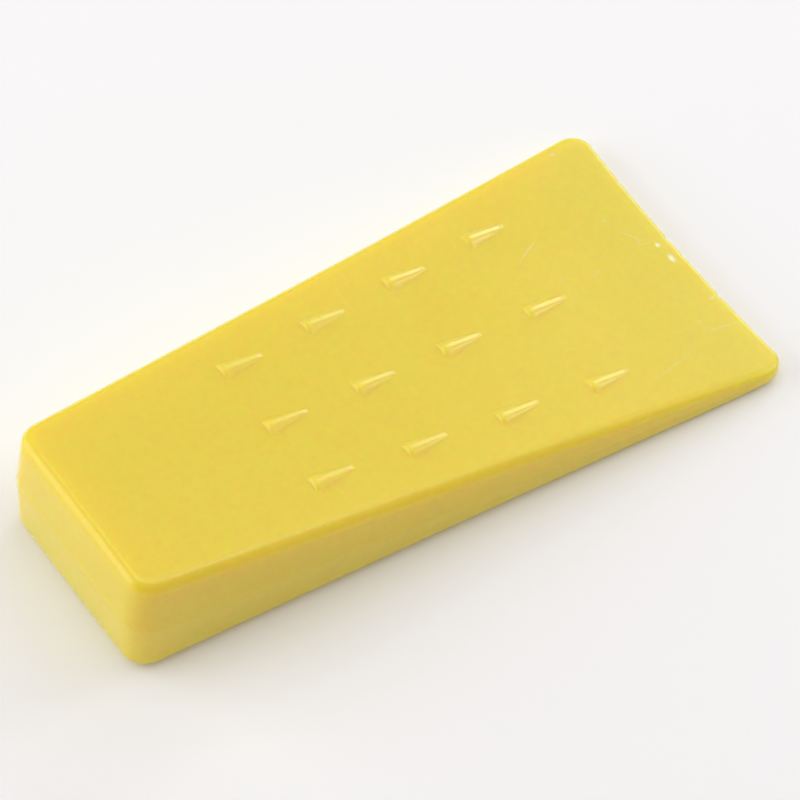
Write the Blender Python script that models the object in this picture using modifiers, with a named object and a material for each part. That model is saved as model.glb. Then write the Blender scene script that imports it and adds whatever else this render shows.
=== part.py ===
"""Single-taper felling wedge: one solid plastic moulding, thick and narrow at the butt that is struck,
thin and wide at the tip, with twelve half-cone barbs standing on its upper face.

The wedge lies on its lower face. +X runs along its length from butt to tip, +Z is up, and the origin
is at the bottom centre of its bounding box. Metres.
"""

import math

import bmesh
import bpy
from mathutils import Matrix, Vector

LENGTH = 0.140
BUTT_WIDTH = 0.0448
TIP_WIDTH = 0.0696
BUTT_THICKNESS = 0.0260
TIP_THICKNESS = 0.0036
TIP_HOLLOW = 0.0010

# The mould parts at mid-thickness, so every wall leans inwards from there, up and down.
DRAFT = math.radians(3.3)
BUTT_CORNER_RADIUS = 0.0060
TIP_CORNER_RADIUS = 0.0042
# The rim reaches RIM_RADIUS inwards and drops as far. Towards the tip it drops less, in proportion to the
# half thickness, and reaches in somewhat less; along the tip itself it reaches no further than it drops.
RIM_RADIUS = 0.0028
RIM_SHARE_OF_HALF_THICKNESS = 0.42
RIM_LOSS_AT_TIP = 0.3

BARB_COLUMNS = 4
BARB_ROWS = 3
BARB_LENGTH = 0.0092
BARB_WIDTH = 0.0049
BARB_HEIGHT = 0.0009
BARB_NOSE_SHARE = 0.12
FIRST_BARB_FROM_BUTT = 0.0425
BARB_PITCH = 0.01995
OUTER_ROW_FROM_SIDE = 0.0108

CORNER_STEPS = 7
SIDE_STEPS = 12
TIP_STEPS = 8
BUTT_STEPS = 1
RIM_STEPS = 5
# A crest falls on a vertex and the upper face passes between two vertices.
BARB_SIDES = 22

MERGE_DISTANCE = 0.00001
HALF_TAPER = math.atan2((BUTT_THICKNESS - TIP_THICKNESS) / 2, LENGTH)

YELLOW = (0.84, 0.62, 0.06, 1.0)


def half_thickness(x):
    """Height of the upper face over the parting plane, x from the butt."""
    return (BUTT_THICKNESS + (TIP_THICKNESS - BUTT_THICKNESS) * x / LENGTH) / 2


def half_width(x):
    return (BUTT_WIDTH + (TIP_WIDTH - BUTT_WIDTH) * x / LENGTH) / 2


def rounded_corner(before, corner, after, radius):
    """Points and outward normals of the arc that rounds one corner of an anticlockwise outline."""
    along_in = (corner - before).normalized()
    along_out = (after - corner).normalized()
    turn = along_in.angle(along_out)
    normal_in = Vector((along_in.y, -along_in.x))
    centre = corner - along_in * radius * math.tan(turn / 2) - normal_in * radius
    first = math.atan2(normal_in.y, normal_in.x)
    arc = []
    for step in range(CORNER_STEPS + 1):
        angle = first + turn * step / CORNER_STEPS
        normal = Vector((math.cos(angle), math.sin(angle)))
        arc.append((centre + normal * radius, normal))
    return arc


def straight_run(start, end, steps, hollow):
    """The points between two arcs, bowed inwards by hollow at the middle."""
    run = []
    for step in range(1, steps):
        share = step / steps
        normal = start[1]
        inwards = normal * hollow * 4 * share * (1 - share)
        run.append((start[0].lerp(end[0], share) - inwards, normal))
    return run


def plan_outline():
    """The outline at the parting plane, anticlockwise from above: (point, outward normal) pairs."""
    corners = [
        Vector((0, -BUTT_WIDTH / 2)),
        Vector((LENGTH, -TIP_WIDTH / 2)),
        Vector((LENGTH, TIP_WIDTH / 2)),
        Vector((0, BUTT_WIDTH / 2)),
    ]
    radii = [BUTT_CORNER_RADIUS, TIP_CORNER_RADIUS, TIP_CORNER_RADIUS, BUTT_CORNER_RADIUS]
    steps = [SIDE_STEPS, TIP_STEPS, SIDE_STEPS, BUTT_STEPS]
    hollows = [0, TIP_HOLLOW, 0, 0]
    arcs = [
        rounded_corner(corners[i - 1], corners[i], corners[(i + 1) % 4], radii[i])
        for i in range(4)
    ]
    outline = []
    for i, arc in enumerate(arcs):
        outline += arc
        outline += straight_run(arc[-1], arcs[(i + 1) % 4][0], steps[i], hollows[i])
    return outline


def rim(x, normal):
    """How far the rounded rim reaches inwards and how far it drops, x from the butt."""
    drop = min(RIM_RADIUS, RIM_SHARE_OF_HALF_THICKNESS * half_thickness(x))
    reach = RIM_RADIUS * (1 - RIM_LOSS_AT_TIP * (x / LENGTH) ** 2)
    towards_tip = max(normal.x, 0.0) ** 2
    return reach + (drop - reach) * towards_tip, drop


def wall_rings():
    """Rings of the upper half, from the parting plane up the drafted wall and over the rounded rim."""
    outline = plan_outline()
    rings = [[Vector((point.x, point.y, 0)) for point, normal in outline]]
    for step in range(RIM_STEPS + 1):
        angle = math.pi / 2 * step / RIM_STEPS
        ring = []
        for point, normal in outline:
            reach, drop = rim(point.x, normal)
            top_of_wall = half_thickness(point.x) - drop
            inset = top_of_wall * math.tan(DRAFT) + reach * (1 - math.cos(angle))
            moved = point - normal * inset
            height = half_thickness(moved.x) - drop * (1 - math.sin(angle))
            ring.append(Vector((moved.x, moved.y, height)))
        rings.append(ring)
    return rings


def material():
    plastic = bpy.data.materials.new("yellow_plastic")
    plastic.use_nodes = True
    surface = plastic.node_tree.nodes["Principled BSDF"]
    surface.inputs["Base Color"].default_value = YELLOW
    surface.inputs["Roughness"].default_value = 0.35
    surface.inputs["Metallic"].default_value = 0.0
    surface.inputs["IOR"].default_value = 1.53
    return plastic


def collection(name):
    made = bpy.data.collections.new(name)
    bpy.context.scene.collection.children.link(made)
    return made


def wedge_half(rings):
    """Mesh of the upper half, open at the parting plane."""
    form = bmesh.new()
    rings = [[form.verts.new(point) for point in ring] for ring in rings]
    for lower, upper in zip(rings, rings[1:]):
        for i in range(len(lower)):
            form.faces.new((lower[i - 1], lower[i], upper[i], upper[i - 1]))
    form.faces.new(rings[-1])
    mesh = bpy.data.meshes.new("wedge_body")
    form.to_mesh(mesh)
    form.free()
    return mesh


def barb_mesh():
    """One barb: a flattened cone along +X, its blunt end at the origin and its lower half to be buried."""
    form = bmesh.new()
    bmesh.ops.create_cone(
        form,
        cap_ends=True,
        segments=BARB_SIDES,
        radius1=BARB_WIDTH / 2,
        radius2=BARB_WIDTH / 2 * BARB_NOSE_SHARE,
        depth=BARB_LENGTH,
    )
    lie_along_x = Matrix.Translation((BARB_LENGTH / 2, 0, 0)) @ Matrix.Rotation(math.pi / 2, 4, "Y")
    first_vertex_up = Matrix.Rotation(math.pi / 2, 4, "X")
    flatten = Matrix.Diagonal((1, 1, BARB_HEIGHT / (BARB_WIDTH / 2), 1))
    bmesh.ops.transform(form, matrix=flatten @ first_vertex_up @ lie_along_x, verts=form.verts)
    mesh = bpy.data.meshes.new("barb")
    form.to_mesh(mesh)
    form.free()
    return mesh


def barb_places():
    """Where each barb's blunt end stands on the upper face: outer rows run parallel to the sides."""
    places = []
    for column in range(BARB_COLUMNS):
        x = FIRST_BARB_FROM_BUTT + BARB_PITCH * column
        spread = half_width(x) - OUTER_ROW_FROM_SIDE
        for row in range(BARB_ROWS):
            places.append(Vector((x, spread * (row - 1), half_thickness(x))))
    return places


def add_barbs(body, helpers):
    """Cones lying in the upper face, joined to the body by one Boolean."""
    mesh = barb_mesh()
    for number, place in enumerate(barb_places(), start=1):
        barb = bpy.data.objects.new(f"barb_{number:02d}", mesh)
        helpers.objects.link(barb)
        barb.parent = body
        barb.location = place
        barb.rotation_euler = (0, HALF_TAPER, 0)
        barb.hide_render = True
        barb.display_type = "WIRE"
    join = body.modifiers.new("barbs", "BOOLEAN")
    join.operation = "UNION"
    join.solver = "EXACT"
    join.operand_type = "COLLECTION"
    join.collection = helpers


def lay_on_lower_face(body, rings):
    """Turn the lower face level and bring the bottom centre of the bounding box to the origin."""
    body.rotation_euler = (0, HALF_TAPER, 0)
    turn = Matrix.Rotation(HALF_TAPER, 3, "Y")
    upper = [turn @ point for ring in rings for point in ring]
    lower = [turn @ Vector((point.x, point.y, -point.z)) for ring in rings for point in ring]
    along = [point.x for point in upper + lower]
    lowest = min(point.z for point in lower)
    body.location = (-(min(along) + max(along)) / 2, 0, -lowest)


def build():
    for item in list(bpy.data.objects):
        bpy.data.objects.remove(item, do_unlink=True)
    parts = collection("felling_wedge")
    helpers = collection("barb_tools")
    helpers.hide_render = True

    rings = wall_rings()
    body = bpy.data.objects.new("wedge_body", wedge_half(rings))
    parts.objects.link(body)
    body.data.materials.append(material())
    mirror = body.modifiers.new("lower_half", "MIRROR")
    mirror.use_axis = (False, False, True)
    mirror.merge_threshold = MERGE_DISTANCE
    lay_on_lower_face(body, rings)
    add_barbs(body, helpers)
    body.data.shade_smooth()
    body.data.set_sharp_from_angle(angle=math.radians(25))


build()
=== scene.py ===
import math

import bpy
import numpy as np
from mathutils import Matrix, Vector, noise
from mathutils.geometry import delaunay_2d_cdt


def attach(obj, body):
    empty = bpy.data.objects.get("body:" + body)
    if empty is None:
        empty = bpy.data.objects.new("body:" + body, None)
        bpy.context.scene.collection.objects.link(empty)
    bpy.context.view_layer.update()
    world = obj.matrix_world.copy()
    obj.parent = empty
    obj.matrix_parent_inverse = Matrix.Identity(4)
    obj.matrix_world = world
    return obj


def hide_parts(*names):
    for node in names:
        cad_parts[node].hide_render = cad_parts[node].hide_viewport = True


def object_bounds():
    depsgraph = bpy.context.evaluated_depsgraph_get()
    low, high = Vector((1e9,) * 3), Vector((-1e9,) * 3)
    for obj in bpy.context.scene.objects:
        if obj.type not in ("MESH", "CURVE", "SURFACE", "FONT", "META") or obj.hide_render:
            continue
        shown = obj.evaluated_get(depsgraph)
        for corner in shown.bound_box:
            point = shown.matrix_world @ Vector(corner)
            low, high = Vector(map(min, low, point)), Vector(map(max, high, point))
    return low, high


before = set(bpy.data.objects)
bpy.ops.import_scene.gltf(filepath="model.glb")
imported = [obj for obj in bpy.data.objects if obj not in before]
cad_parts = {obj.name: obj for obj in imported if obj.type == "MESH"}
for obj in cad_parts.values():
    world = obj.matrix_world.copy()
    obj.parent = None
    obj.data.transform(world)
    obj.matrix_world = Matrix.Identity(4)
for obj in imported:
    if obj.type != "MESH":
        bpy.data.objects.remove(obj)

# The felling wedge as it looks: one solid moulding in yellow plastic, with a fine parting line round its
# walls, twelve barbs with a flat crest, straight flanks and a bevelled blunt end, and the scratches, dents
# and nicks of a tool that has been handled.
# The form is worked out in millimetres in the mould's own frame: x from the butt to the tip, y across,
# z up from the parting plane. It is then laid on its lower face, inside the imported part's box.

cad_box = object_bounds()

MM = 0.001
UPPER, LOWER = 1, -1


# ---------------------------------------------------------------- the body's sizes, in millimetres

LENGTH = 140.0
# Across the parting line, a hair under the CAD's sizes, because the flash and the finer rim stand proud.
BUTT_WIDTH, TIP_WIDTH = 44.8, 69.56
BUTT_THICKNESS, TIP_THICKNESS = 25.96, 3.6
TIP_HOLLOW = 1.0
DRAFT = math.radians(3.3)
HALF_TAPER = math.atan2((BUTT_THICKNESS - TIP_THICKNESS) / 2, LENGTH)
BUTT_CORNER_RADIUS, TIP_CORNER_RADIUS = 6.0, 4.2
# The rim reaches RIM_RADIUS inwards and drops as far. Towards the tip it drops less, in proportion to
# the half thickness, and reaches in somewhat less; along the tip itself it reaches no further than it drops.
RIM_RADIUS = 2.8
RIM_SHARE_OF_HALF_THICKNESS = 0.42
RIM_LOSS_AT_TIP = 0.3

# The flash is the fine ridge along the parting line.
FLASH_HEIGHT = 0.016
FLASH_HALF_WIDTH = 0.14


# ---------------------------------------------------------------- the barbs' sizes, in millimetres

# A barb's crest is a flat strip that falls evenly to the nose. Its flanks turn down from the crest on a
# small radius and run straight to a filleted foot. Its blunt end is bowed in plan and has a steep wall, a
# bevel, and a gentle ramp up to the crest; the wall and the bevel are given as shares of the height.
BARB_COLUMNS, BARB_ROWS = 4, (-1, 0, 1)
FIRST_BARB_FROM_BUTT, BARB_PITCH, OUTER_ROW_FROM_SIDE = 42.5, 19.95, 10.8
BARB_LENGTH, BARB_HALF_WIDTH, BARB_HEIGHT = 9.2, 2.45, 0.90
BARB_NOSE_HALF_WIDTH, BARB_NOSE_HEIGHT = 0.60, 0.08
CREST_HALF_WIDTH, CREST_TURN = 0.35, 0.7
END_BOW = 0.35
END_WALL, END_BEVEL = 0.30, 0.56
END_WALL_FOOT, END_WALL_TOP = -0.16, 0.02
BEVEL_LENGTH, BEVEL_POWER = 0.58, 1.3
RAMP_LENGTH = 1.6
NOSE_FADE_START, NOSE_FADE_END = BARB_LENGTH - 1.0, BARB_LENGTH + 0.35
# The fillet at a barb's foot: its softness at the nose, and the share of that left at the blunt end. The
# flanks run on under the face as far as FLANK_BOTTOM, in shares of the height, for the fillet to start from.
FOOT_FILLET, FILLET_LEFT_AT_END = 0.035, 0.15
FLANK_BOTTOM = -0.5


# ---------------------------------------------------------------- the wear, in millimetres

# The tip's front corner has worn round from below: centre x and y, how far the wear spreads, the share of
# the half thickness that its rim drops, and how much further the rim reaches.
WORN_CORNER, WORN_CORNER_SPREAD = (139.0, -34.0), 8.0
WORN_CORNER_DROP, WORN_CORNER_REACH = 0.86, 1.5

# The tip edge has drawn back by TIP_WEAR, give or take waves (height, waves per millimetre, seed) and
# nicks (y, half width, depth), whose sides fall off at NICK_FALL.
TIP_WEAR = 0.10
TIP_WAVES = [(0.10, 0.22, 4.0), (0.05, 0.9, 9.0)]
TIP_NICKS = [(-13.8, 0.9, 0.35), (3.0, 1.2, 0.25), (-2.0, 0.8, 0.2), (19.5, 0.7, 0.2)]
NICK_FALL = 2.5

# Scratches on the upper face: points (x, y) along each, its half width, its depth and how much it has
# whitened. A scratch is a groove between two raised lips, and wanders a little from its points.
SCRATCHES = [
    ([(109.0, 11.2), (112.0, 13.1), (115.0, 14.5)], 0.24, 0.020, 0.30),
    ([(118.3, 1.5), (120.0, 1.7), (121.5, 2.1)], 0.12, 0.012, 0.25),
    ([(130.6, 9.3), (133.1, 6.0), (132.7, 4.1), (135.3, 3.4)], 0.30, 0.012, 0.20),
    ([(138.0, -21.0), (133.1, -20.4), (130.2, -19.7)], 0.28, 0.012, 0.18),
    ([(127.2, -22.1), (122.5, -23.5), (117.1, -24.6), (113.5, -25.8)], 0.26, 0.010, 0.15),
]
# A scratch's section: offset in half widths, height in depths, and share of the whitening.
SCRATCH_SECTION = [(0.0, -1.0, 1.0), (0.5, 0.4, 0.7), (1.0, 0.0, 0.1), (1.8, 0.0, 0.0)]
# It tapers from its middle to its ends, and the share SCRATCH_TIP of its length is cut off at each.
SCRATCH_TIP = 0.02
SCRATCH_WANDER, SCRATCH_WAVES_PER_MM = 0.12, 0.7
SCRATCH_SEED_ACROSS, SCRATCH_SEED_PER_WIDTH = 7.0, 60

# Dents on the upper face: centre x and y, half lengths along x and y, depth, and whitening.
DENTS = [
    (135.9, 2.4, 0.50, 0.55, 0.06, 1.0),
    (136.4, -1.6, 0.55, 1.05, 0.08, 1.0),
    (137.2, -13.7, 0.80, 0.25, 0.05, 0.6),
    (113.5, 3.7, 0.25, 0.35, 0.02, 0.3),
    (130.1, 12.5, 0.35, 0.35, 0.02, 0.4),
    (131.4, 31.5, 0.60, 0.60, 0.015, 0.30),
    (121.1, 2.3, 0.50, 0.30, 0.015, 0.25),
    (113.4, 12.6, 0.25, 0.35, 0.01, 0.15),
    (131.2, -17.4, 0.40, 0.60, 0.02, 0.2),
]
DENT_FALL = 1.6
LEAST_WHITENING = 0.01


# ---------------------------------------------------------------- how fine the mesh is

CORNER_STEPS, SIDE_STEPS, TIP_STEPS, BUTT_STEPS = 14, 48, 130, 14
WALL_STEPS, RIM_STEPS = 5, 10
# Loose points on the flat of a face: their pitch, and how far they keep from its edge and from the detail.
GRID, GRID_FROM_EDGE, GRID_FROM_DETAIL = 3.5, 1.2, 1.0
INNER_RING_INSET = 0.35
SAME_POINT = 1e-5

# Points over a barb: across it in half widths on each side of the crest, along it in millimetres from the
# blunt end, evenly over the crest, and in millimetres from the end of the nose.
BARB_ACROSS = [0.09, 0.18, 0.28, 0.38, 0.5, 0.62, 0.74, 0.84, 0.92, 1.0, 1.1, 1.22, 1.4, 1.6]
BARB_AT_END = [-0.6, -0.3, -0.16, -0.12, -0.08, -0.04, 0.0]
BARB_AT_END += [0.04, 0.09, 0.15, 0.22, 0.3, 0.4, 0.52, 0.66, 0.82]
BARB_ON_CREST = np.linspace(1.0, BARB_LENGTH - 0.6, 34)
BARB_AT_NOSE = [-0.5, -0.4, -0.3, -0.2, -0.1, 0.0, 0.1, 0.2, 0.3, 0.42, 0.65]
BARB_MARGIN = 1.0

SCRATCH_STEP, FEWEST_SCRATCH_POINTS = 0.6, 8
DENT_RINGS = (0.35, 0.7, 1.1, 1.6, 2.2)
DENT_POINTS = 14
DENT_FROM_EDGE = 0.12


# ---------------------------------------------------------------- colours, floor, light and camera, in metres

YELLOW_DARK = (0.838, 0.684, 0.060, 1.0)
YELLOW_PALE = (0.858, 0.706, 0.070, 1.0)
WHITENED = (0.98, 0.95, 0.72, 1.0)

FLOOR_REACH = 3.0
FLOOR_GAP = 0.0001
FLOOR_COLOUR = (0.90, 0.90, 0.90, 1.0)
FLOOR_GLOW, FLOOR_GLOW_STRENGTH = (0.80, 0.95, 1.0, 1.0), 0.07

AMBIENT_COLOUR, AMBIENT_STRENGTH = (1.0, 0.92, 0.92, 1.0), 0.277
WHITE = (1.0, 1.0, 1.0)
WARM = (1.0, 0.25, 0.10)
# Softboxes that face the wedge: name, azimuth (0 in front, 90 to the right) and elevation in degrees,
# distance and size in metres, watts, colour. The key is far and small, so that it shines in the barbs'
# crests and not in the face beside them.
SOFTBOXES = [
    ("key", 122, 31, 3.0, (0.62, 0.34), 5.2, WHITE),
    ("key_panel", 130, 42, 1.0, (0.7, 0.7), 0.70, WHITE),
    ("tip_low", 125, 12, 1.0, (0.8, 0.4), 0.5, WHITE),
    ("tip_side", 79, 36, 1.0, (0.28, 0.25), 0.95, WHITE),
    ("key_side", 90, 45, 1.0, (0.9, 0.9), 1.3, WHITE),
    ("top_high", 60, 72, 1.0, (0.6, 0.6), 1.3, WHITE),
    ("butt_side", -124, 24, 1.0, (1.1, 0.75), 5.7, WHITE),
    ("back_high", -150, 75, 1.0, (0.6, 0.6), 1.7, WHITE),
    ("front_high", 45, 50, 1.0, (0.6, 0.6), 0.40, WHITE),
    ("front_fill", 0, 25, 1.0, (0.6, 0.6), 0.32, WARM),
]

SENSOR_WIDTH, FOCAL_LENGTH = 36.0, 216.98
CAMERA_AZIMUTH, CAMERA_ELEVATION, CAMERA_ROLL = -35.2, 54.838, 1.004
CAMERA_DISTANCE = 0.9061
CAMERA_TARGET = (0.0009, -0.00385, 0.01085)


# ---------------------------------------------------------------- the outline


def half_thickness(x):
    return (BUTT_THICKNESS + (TIP_THICKNESS - BUTT_THICKNESS) * x / LENGTH) / 2


def half_width(x):
    return (BUTT_WIDTH + (TIP_WIDTH - BUTT_WIDTH) * x / LENGTH) / 2


def rounded_corner(before, corner, after, radius):
    """Points and outward normals of the arc that rounds one corner of an anticlockwise outline."""
    along_in = (corner - before).normalized()
    along_out = (after - corner).normalized()
    turn = along_in.angle(along_out)
    normal_in = Vector((along_in.y, -along_in.x))
    centre = corner - along_in * radius * math.tan(turn / 2) - normal_in * radius
    first = math.atan2(normal_in.y, normal_in.x)
    arc = []
    for step in range(CORNER_STEPS + 1):
        angle = first + turn * step / CORNER_STEPS
        normal = Vector((math.cos(angle), math.sin(angle)))
        arc.append((centre + normal * radius, normal))
    return arc


def straight_run(start, end, steps, hollow):
    """The points between two arcs, bowed inwards by hollow at the middle."""
    run = []
    for step in range(1, steps):
        share = step / steps
        normal = start[1]
        inwards = normal * hollow * 4 * share * (1 - share)
        run.append((start[0].lerp(end[0], share) - inwards, normal))
    return run


def tip_wear(y):
    """How far the worn tip edge has drawn back at y."""
    worn = TIP_WEAR
    for height, pace, seed in TIP_WAVES:
        worn += height * noise.noise(Vector((0.0, y * pace, seed)))
    for middle, reach, depth in TIP_NICKS:
        worn += depth * math.exp(-(((y - middle) / reach) ** 2) * NICK_FALL)
    return max(worn, 0.0)


def plan_outline():
    """The outline at the parting plane, anticlockwise from above: (point, outward normal) pairs."""
    corners = [
        Vector((0, -BUTT_WIDTH / 2)),
        Vector((LENGTH, -TIP_WIDTH / 2)),
        Vector((LENGTH, TIP_WIDTH / 2)),
        Vector((0, BUTT_WIDTH / 2)),
    ]
    radii = [BUTT_CORNER_RADIUS, TIP_CORNER_RADIUS, TIP_CORNER_RADIUS, BUTT_CORNER_RADIUS]
    steps = [SIDE_STEPS, TIP_STEPS, SIDE_STEPS, BUTT_STEPS]
    hollows = [0, TIP_HOLLOW, 0, 0]
    arcs = [
        rounded_corner(corners[i - 1], corners[i], corners[(i + 1) % 4], radii[i])
        for i in range(4)
    ]
    outline = []
    for i, arc in enumerate(arcs):
        outline += arc
        run = straight_run(arc[-1], arcs[(i + 1) % 4][0], steps[i], hollows[i])
        if hollows[i]:
            run = [(point - normal * tip_wear(point.y), normal) for point, normal in run]
        outline += run
    return outline


# ---------------------------------------------------------------- the walls and the rim


def rim(point, normal, side):
    """How far the rounded rim reaches inwards and how far it drops, at a point of the outline."""
    full = half_thickness(point.x)
    drop = min(RIM_RADIUS, RIM_SHARE_OF_HALF_THICKNESS * full)
    reach = RIM_RADIUS * (1 - RIM_LOSS_AT_TIP * (point.x / LENGTH) ** 2)
    towards_tip = max(normal.x, 0.0) ** 2
    reach += (drop - reach) * towards_tip
    if side == LOWER:
        away = (point - Vector(WORN_CORNER)).length / WORN_CORNER_SPREAD
        worn = math.exp(-(away**2))
        drop += (WORN_CORNER_DROP * full - drop) * worn
        reach += WORN_CORNER_REACH * worn
    return reach, drop


def wall_point(point, normal, side, share):
    """A point of the drafted wall, at a share of its height from the flash up to the rim."""
    drop = rim(point, normal, side)[1]
    top_of_wall = half_thickness(point.x) - drop
    height = FLASH_HALF_WIDTH + (top_of_wall - FLASH_HALF_WIDTH) * share
    moved = point - normal * (FLASH_HEIGHT + height * math.tan(DRAFT))
    return Vector((moved.x, moved.y, height))


def rim_point(point, normal, side, angle):
    """A point of the rounded rim, at an angle round from the wall towards the face."""
    reach, drop = rim(point, normal, side)
    top_of_wall = half_thickness(point.x) - drop
    inset = FLASH_HEIGHT + top_of_wall * math.tan(DRAFT) + reach * (1 - math.cos(angle))
    moved = point - normal * inset
    height = half_thickness(moved.x) - drop * (1 - math.sin(angle))
    return Vector((moved.x, moved.y, height))


def wall_rings(outline, side):
    """Rings of one half from the parting line to the flat face, with z as the distance off that line."""
    rings = [[Vector((point.x, point.y, 0.0)) for point, normal in outline]]
    for step in range(WALL_STEPS + 1):
        share = step / WALL_STEPS
        rings.append([wall_point(point, normal, side, share) for point, normal in outline])
    for step in range(1, RIM_STEPS + 1):
        angle = math.pi / 2 * step / RIM_STEPS
        rings.append([rim_point(point, normal, side, angle) for point, normal in outline])
    return rings


# ---------------------------------------------------------------- what stands on the upper face


def barb_places():
    """Where each barb's blunt end stands, x and y: the outer rows run parallel to the sides."""
    places = []
    for column in range(BARB_COLUMNS):
        x = FIRST_BARB_FROM_BUTT + BARB_PITCH * column
        spread = half_width(x) - OUTER_ROW_FROM_SIDE
        places += [(x, spread * row) for row in BARB_ROWS]
    return places


def barb_half_width(along):
    share = np.clip(1 - along / BARB_LENGTH, 0, 1)
    return BARB_NOSE_HALF_WIDTH + (BARB_HALF_WIDTH - BARB_NOSE_HALF_WIDTH) * share


def soft_positive(value, softness):
    """value where it is positive and 0 where it is negative, with a rounded turn between."""
    blend = (value + softness) ** 2 / (4 * softness)
    return np.where(value > softness, value, np.where(value < -softness, 0.0, blend))


def soft_step(value, low, high):
    share = np.clip((value - low) / (high - low), 0, 1)
    return share * share * (3 - 2 * share)


def flank_fall(across):
    """How far a barb has fallen away from its flat crest, in proportion: rounded first, then straight."""
    beyond_crest = np.maximum(np.abs(across) - CREST_HALF_WIDTH, 0)
    return np.sqrt(beyond_crest**2 + CREST_TURN**2) - CREST_TURN


def blunt_end(along, across):
    """The share of a barb's height that its blunt end has reached."""
    from_end = along - END_BOW * (across / BARB_HALF_WIDTH) ** 2
    bevel_left = np.clip(1 - from_end / BEVEL_LENGTH, 0, 1)
    ramp_left = np.clip(1 - from_end / RAMP_LENGTH, 0, 1)
    reached = 1 - (1 - END_WALL - END_BEVEL) * ramp_left**2
    reached -= END_BEVEL * bevel_left**BEVEL_POWER
    return reached * soft_step(from_end, END_WALL_FOOT, END_WALL_TOP)


def barb_height(along, across):
    """Height of one barb over the face."""
    share = np.clip(along / BARB_LENGTH, 0, 1)
    crest = BARB_HEIGHT * (1 - share) + BARB_NOSE_HEIGHT * share
    section = 1 - flank_fall(across) / flank_fall(barb_half_width(along))
    nose = 1 - soft_step(along, NOSE_FADE_START, NOSE_FADE_END)
    height = crest * np.maximum(section, FLANK_BOTTOM) * blunt_end(along, across) * nose
    return soft_positive(height, FOOT_FILLET * (FILLET_LEFT_AT_END + share))


def relief(x, y):
    """Height over the upper face, and whitening, of the barbs and dents at the points x, y."""
    height = np.zeros_like(x)
    white = np.zeros_like(x)
    for barb_x, barb_y in barb_places():
        near = (x > barb_x - BARB_MARGIN) & (x < barb_x + BARB_LENGTH + BARB_MARGIN)
        near &= np.abs(y - barb_y) < 2 * BARB_HALF_WIDTH
        height[near] += barb_height(x[near] - barb_x, y[near] - barb_y)
    for dent_x, dent_y, reach_x, reach_y, depth, whitened in DENTS:
        away = ((x - dent_x) / reach_x) ** 2 + ((y - dent_y) / reach_y) ** 2
        pressed = np.exp(-away * DENT_FALL)
        height -= depth * pressed
        white += whitened * pressed
    return height, white


# ---------------------------------------------------------------- the plan of a flat face


class Plan:
    """Points and edges in the plane of a face, to be triangulated inside its outline."""

    def __init__(self, ring):
        self.points = [(p.x, p.y) for p in ring]
        self.marks = [(0.0, 0.0)] * len(ring)
        count = len(ring)
        self.edges = [(i, (i + 1) % count) for i in range(count)]
        self.outline = np.array(self.points)
        self.add_inner_ring()

    def add(self, points, marks=None, joined=False):
        """Adds points. Their marks, where they have any, are a height and a whitening each."""
        first = len(self.points)
        self.points += [tuple(p) for p in points]
        self.marks += marks or [(0.0, 0.0)] * len(points)
        if joined:
            self.edges += [(first + i, first + i + 1) for i in range(len(points) - 1)]

    def add_inner_ring(self):
        """A ring just inside the outline, which keeps the shading of the rim off the flat face."""
        following = np.roll(self.outline, -1, axis=0) - np.roll(self.outline, 1, axis=0)
        following /= np.linalg.norm(following, axis=1)[:, None]
        inwards = np.column_stack([-following[:, 1], following[:, 0]])
        self.add(self.outline[::2] + inwards[::2] * INNER_RING_INSET)

    def inside(self, points, margin):
        """Which points lie inside the outline, at least margin from it."""
        x, y = points[:, 0], points[:, 1]
        keep = np.zeros(len(points), bool)
        ends = np.roll(self.outline, -1, axis=0)
        for (ax, ay), (bx, by) in zip(self.outline, ends):
            crosses = (ay > y) != (by > y)
            with np.errstate(divide="ignore", invalid="ignore"):
                keep ^= crosses & (x < ax + (bx - ax) * (y - ay) / (by - ay))
        away = np.sqrt(((points[:, None, :] - self.outline[None, ::2]) ** 2).sum(2)).min(1)
        return keep & (away > margin)

    def triangulate(self):
        """Points, their marks, the triangles, and the outline's points in order."""
        flat = [Vector(p) for p in self.points]
        inside_only = 1
        points, _, faces, sources, _, _ = delaunay_2d_cdt(flat, self.edges, [], inside_only, SAME_POINT)
        number = {}
        for made, source in enumerate(sources):
            for index in source:
                number[index] = made
        order = [number[i] for i in range(len(self.outline))]
        marks = [self.marks[source[0]] if source else (0.0, 0.0) for source in sources]
        return points, marks, faces, order


def add_barb_points(plan):
    """Rows of points over each barb, closer together at its crest and round its foot."""
    across = [-share for share in reversed(BARB_ACROSS)] + [0.0] + BARB_ACROSS
    along = np.concatenate([BARB_AT_END, BARB_ON_CREST, BARB_LENGTH + np.array(BARB_AT_NOSE)])
    half_widths = barb_half_width(along)
    for barb_x, barb_y in barb_places():
        for share in across:
            row = np.column_stack([barb_x + along, barb_y + share * half_widths])
            plan.add(row, joined=share == 0)


def scratch_middle(path, reach):
    """Points down the middle of a scratch, wandering a little from its path."""
    path = np.array(path, float)
    lengths = np.concatenate([[0], np.cumsum(np.linalg.norm(np.diff(path, axis=0), axis=1))])
    count = max(FEWEST_SCRATCH_POINTS, int(lengths[-1] / SCRATCH_STEP))
    steps = np.linspace(0, lengths[-1], count)
    middle = np.column_stack([np.interp(steps, lengths, path[:, i]) for i in (0, 1)])
    for i in (0, 1):
        seeds = (i * SCRATCH_SEED_ACROSS, reach * SCRATCH_SEED_PER_WIDTH)
        waves = [noise.noise(Vector((step * SCRATCH_WAVES_PER_MM, *seeds))) for step in steps]
        middle[:, i] += SCRATCH_WANDER * np.array(waves)
    return middle


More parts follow.
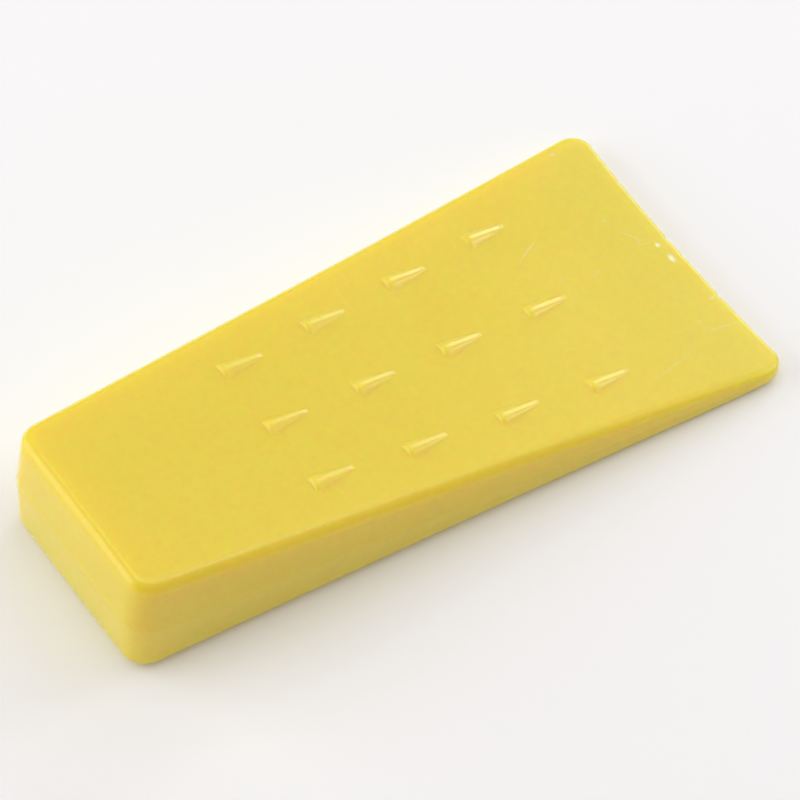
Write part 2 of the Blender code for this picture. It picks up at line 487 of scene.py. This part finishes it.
def add_scratch_points(plan):
    """Lines down each scratch's middle and lips, at its edges, and on the flat just outside them."""
    for path, reach, depth, whitened in SCRATCHES:
        middle = scratch_middle(path, reach)
        direction = np.gradient(middle, axis=0)
        direction /= np.linalg.norm(direction, axis=1)[:, None]
        side = np.column_stack([-direction[:, 1], direction[:, 0]])
        shares = np.linspace(SCRATCH_TIP, 1 - SCRATCH_TIP, len(middle))
        taper = np.sqrt(np.sin(math.pi * shares))
        for offset, rise, white in SCRATCH_SECTION:
            marks = [(rise * depth * share, white * whitened * share) for share in taper]
            for sign in (1, -1) if offset else (1,):
                plan.add(middle + side * (sign * offset * reach * taper)[:, None], marks, joined=True)


def add_dent_points(plan):
    """Rings of points round the middle of each dent."""
    for dent_x, dent_y, reach_x, reach_y, depth, whitened in DENTS:
        plan.add([(dent_x, dent_y)])
        for share in DENT_RINGS:
            turns = np.linspace(0, 2 * math.pi, DENT_POINTS + 1)[:-1] + share
            x = dent_x + reach_x * share * np.cos(turns)
            y = dent_y + reach_y * share * np.sin(turns)
            ring = np.column_stack([x, y])
            plan.add(ring[plan.inside(ring, DENT_FROM_EDGE)])


def add_grid(plan, clear_of_detail):
    """Loose points over the rest of the face, every other column half a step along."""
    low, high = plan.outline.min(0), plan.outline.max(0)
    xs = np.arange(low[0] + GRID / 2, high[0], GRID)
    ys = np.arange(low[1] + GRID / 2, high[1], GRID)
    points = np.array([(x, y + (GRID / 2 if i % 2 else 0)) for i, x in enumerate(xs) for y in ys])
    points = points[plan.inside(points, GRID_FROM_EDGE)]
    if clear_of_detail:
        taken = np.array(plan.points[len(plan.outline):])
        away = np.array([np.sqrt(((taken - p) ** 2).sum(1)).min() for p in points])
        points = points[away > GRID_FROM_DETAIL]
    plan.add(points)


def upper_plan(ring):
    plan = Plan(ring)
    add_barb_points(plan)
    add_scratch_points(plan)
    add_dent_points(plan)
    add_grid(plan, clear_of_detail=True)
    return plan


def lower_plan(ring):
    plan = Plan(ring)
    add_grid(plan, clear_of_detail=False)
    return plan


# ---------------------------------------------------------------- the mesh


class Form:
    """The wedge's points and faces as they are gathered, and which points have whitened."""

    def __init__(self):
        self.points = []
        self.faces = []
        self.whitening = {}

    def add_walls(self, rings, side):
        """The walls of one half. Both halves share the first ring. Gives the number of the last one."""
        if not self.points:
            self.points += rings[0]
        count = len(rings[0])
        below = 0
        for ring in rings[1:]:
            above = len(self.points)
            self.points += [Vector((p.x, p.y, p.z * side)) for p in ring]
            for i in range(count):
                last = (i - 1) % count
                self.add_polygon((below + last, below + i, above + i, above + last), side)
            below = above
        return below

    def add_face(self, plan, edge, side):
        """The flat face of one half, sharing the last ring of its walls. The upper one has the relief."""
        flat, marks, triangles, order = plan.triangulate()
        x = np.array([p.x for p in flat])
        y = np.array([p.y for p in flat])
        proud, white = np.array(marks).T
        if side == UPPER:
            height, pale = relief(x, y)
            proud = proud + height
            white = white + pale
        out = Vector((math.sin(HALF_TAPER), 0, math.cos(HALF_TAPER) * side))
        numbers = {made: edge + i for i, made in enumerate(order)}
        for i in range(len(flat)):
            if i not in numbers:
                numbers[i] = len(self.points)
                if white[i] > LEAST_WHITENING:
                    self.whitening[numbers[i]] = min(white[i], 1.0)
                self.points.append(Vector((x[i], y[i], half_thickness(x[i]) * side)) + out * proud[i])
        for triangle in triangles:
            self.add_polygon([numbers[i] for i in triangle], side)

    def add_polygon(self, corners, side):
        """Adds a polygon; on the upper half its corners run anticlockwise as seen from outside."""
        self.faces.append(corners if side == UPPER else corners[::-1])

    def laid_down(self):
        """The points in metres, with the lower face level and their bottom centre at the CAD box's."""
        turn = Matrix.Rotation(HALF_TAPER, 3, "Y")
        laid = [turn @ point for point in self.points]
        along = [p.x for p in laid]
        middle = Vector(((min(along) + max(along)) / 2, 0, min(p.z for p in laid)))
        place = Vector(((cad_box[0].x + cad_box[1].x) / 2, 0, cad_box[0].z))
        return [(p - middle) * MM + place for p in laid]

    def mesh(self, name):
        mesh = bpy.data.meshes.new(name)
        mesh.from_pydata(self.laid_down(), [], self.faces)
        mesh.validate()
        mesh.shade_smooth()
        white = mesh.attributes.new("whitening", "FLOAT", "POINT")
        for number, amount in self.whitening.items():
            white.data[number].value = amount
        return mesh


def wedge_mesh():
    outline = plan_outline()
    upper = wall_rings(outline, UPPER)
    lower = wall_rings(outline, LOWER)
    form = Form()
    upper_edge = form.add_walls(upper, UPPER)
    lower_edge = form.add_walls(lower, LOWER)
    form.add_face(upper_plan(upper[-1]), upper_edge, UPPER)
    form.add_face(lower_plan(lower[-1]), lower_edge, LOWER)
    return form.mesh("felling_wedge")


# ---------------------------------------------------------------- the materials


# The colour mix node's sockets, by number because several share a name.
MIX_FACTOR, MIX_FIRST, MIX_SECOND, MIX_RESULT = 0, 6, 7, 2
# Between these lies nearly all of a noise texture.
NOISE_LOW, NOISE_HIGH = 0.3, 0.7


class Nodes:
    """A small hand for building a material's nodes round its Principled BSDF."""

    def __init__(self, name):
        self.material = bpy.data.materials.new(name)
        self.material.use_nodes = True
        self.tree = self.material.node_tree
        self.surface = self.tree.nodes["Principled BSDF"]

    def make(self, kind, inputs, **settings):
        """A node with its settings, and with its inputs given as values or as other nodes' outputs."""
        node = self.tree.nodes.new(kind)
        for name, value in settings.items():
            setattr(node, name, value)
        for socket, value in inputs.items():
            self.give(node.inputs[socket], value)
        return node

    def give(self, socket, value):
        if isinstance(value, bpy.types.NodeSocket):
            self.tree.links.new(value, socket)
        else:
            socket.default_value = value

    def finish(self, inputs):
        """Fills the surface's own sockets and hands over the material."""
        for socket, value in inputs.items():
            self.give(self.surface.inputs[socket], value)
        return self.material

    def noise(self, position, scale, detail, roughness):
        inputs = {"Vector": position, "Scale": scale, "Detail": detail, "Roughness": roughness}
        return self.make("ShaderNodeTexNoise", inputs).outputs["Fac"]

    def spread(self, value, low, high):
        """A noise, stretched to run from low to high."""
        inputs = {"Value": value, "From Min": NOISE_LOW, "From Max": NOISE_HIGH}
        inputs.update({"To Min": low, "To Max": high})
        return self.make("ShaderNodeMapRange", inputs).outputs["Result"]

    def mix(self, factor, first, second):
        inputs = {MIX_FACTOR: factor, MIX_FIRST: first, MIX_SECOND: second}
        return self.make("ShaderNodeMix", inputs, data_type="RGBA").outputs[MIX_RESULT]

    def bump(self, strength, distance, height):
        return self.make("ShaderNodeBump", {"Strength": strength, "Distance": distance, "Height": height})


def plastic_colour(nodes, position, cloud):
    """Slow clouds and a fine speckle of yellow, and the whitening of the worn places."""
    tint = nodes.mix(cloud, YELLOW_DARK, YELLOW_PALE)
    mottle = nodes.noise(position, scale=650.0, detail=2.0, roughness=0.6)
    inputs = {"Vector": tint, "Scale": nodes.spread(mottle, low=0.985, high=1.015)}
    speckled = nodes.make("ShaderNodeVectorMath", inputs, operation="SCALE").outputs["Vector"]
    worn = nodes.make("ShaderNodeAttribute", {}, attribute_name="whitening").outputs["Fac"]
    return nodes.mix(worn, speckled, WHITENED)


def plastic_skin(nodes, position):
    """The moulding's fine grain, over a faint and slower waviness."""
    grain = nodes.noise(position, scale=1800.0, detail=2.0, roughness=0.5)
    waves = nodes.noise(position, scale=120.0, detail=1.0, roughness=0.5)
    fine = nodes.bump(strength=0.25, distance=0.00003, height=grain)
    broad = nodes.bump(strength=0.35, distance=0.00015, height=waves)
    nodes.give(broad.inputs["Normal"], fine.outputs["Normal"])
    return broad.outputs["Normal"]


def plastic():
    nodes = Nodes("moulded_yellow_plastic")
    position = nodes.make("ShaderNodeTexCoord", {}).outputs["Object"]
    cloud = nodes.noise(position, scale=38.0, detail=3.0, roughness=0.55)
    return nodes.finish(
        {
            "Base Color": plastic_colour(nodes, position, cloud),
            "Roughness": nodes.spread(cloud, low=0.17, high=0.22),
            "Normal": plastic_skin(nodes, position),
            "IOR": 1.50,
            "Subsurface Weight": 1.0,
            "Subsurface Radius": (1.0, 0.45, 0.06),
            "Subsurface Scale": 0.008,
        }
    )


def pale_floor():
    return Nodes("pale_floor").finish(
        {
            "Base Color": FLOOR_COLOUR,
            "Roughness": 0.7,
            "Emission Color": FLOOR_GLOW,
            "Emission Strength": FLOOR_GLOW_STRENGTH,
        }
    )


# ---------------------------------------------------------------- the pieces, the light and the camera


def add_object(name, data):
    piece = bpy.data.objects.new(name, data)
    bpy.context.scene.collection.objects.link(piece)
    return piece


def wedge():
    piece = add_object("felling_wedge", wedge_mesh())
    piece.data.materials.append(plastic())
    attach(piece, "root")
    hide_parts("wedge_body")


def floor():
    mesh = bpy.data.meshes.new("floor")
    corners = [(x * FLOOR_REACH, y * FLOOR_REACH, 0) for x, y in ((-1, -1), (1, -1), (1, 1), (-1, 1))]
    mesh.from_pydata(corners, [], [(0, 1, 2, 3)])
    mesh.materials.append(pale_floor())
    piece = add_object("floor", mesh)
    piece.location.z = cad_box[0].z - FLOOR_GAP


def around(azimuth, elevation):
    """Unit vector from the wedge towards an azimuth, 0 in front and 90 to the right, and an elevation."""
    a, e = math.radians(azimuth), math.radians(elevation)
    return Vector((math.sin(a) * math.cos(e), -math.cos(a) * math.cos(e), math.sin(e)))


def softbox(name, azimuth, elevation, distance, size, watts, colour):
    light = bpy.data.lights.new(name, "AREA")
    light.shape = "RECTANGLE"
    light.size, light.size_y = size
    light.energy = watts
    light.color = colour
    piece = add_object(name, light)
    back = around(azimuth, elevation)
    piece.location = back * distance
    piece.rotation_euler = back.to_track_quat("Z", "Y").to_euler()


def lighting():
    for settings in SOFTBOXES:
        softbox(*settings)
    world = bpy.data.worlds.new("studio")
    world.use_nodes = True
    background = world.node_tree.nodes["Background"]
    background.inputs["Color"].default_value = AMBIENT_COLOUR
    background.inputs["Strength"].default_value = AMBIENT_STRENGTH
    bpy.context.scene.world = world


def camera():
    data = bpy.data.cameras.new("camera")
    data.sensor_width = SENSOR_WIDTH
    data.lens = FOCAL_LENGTH
    piece = add_object("camera", data)
    turn = Matrix.Rotation(math.radians(CAMERA_AZIMUTH), 4, "Z")
    tilt = Matrix.Rotation(math.radians(90 - CAMERA_ELEVATION), 4, "X")
    roll = Matrix.Rotation(math.radians(CAMERA_ROLL), 4, "Z")
    place = Vector(CAMERA_TARGET) + around(CAMERA_AZIMUTH, CAMERA_ELEVATION) * CAMERA_DISTANCE
    piece.matrix_world = Matrix.Translation(place) @ turn @ tilt @ roll
    bpy.context.scene.camera = piece


wedge()
floor()
lighting()
camera()
bpy.context.scene.view_settings.view_transform = "Standard"
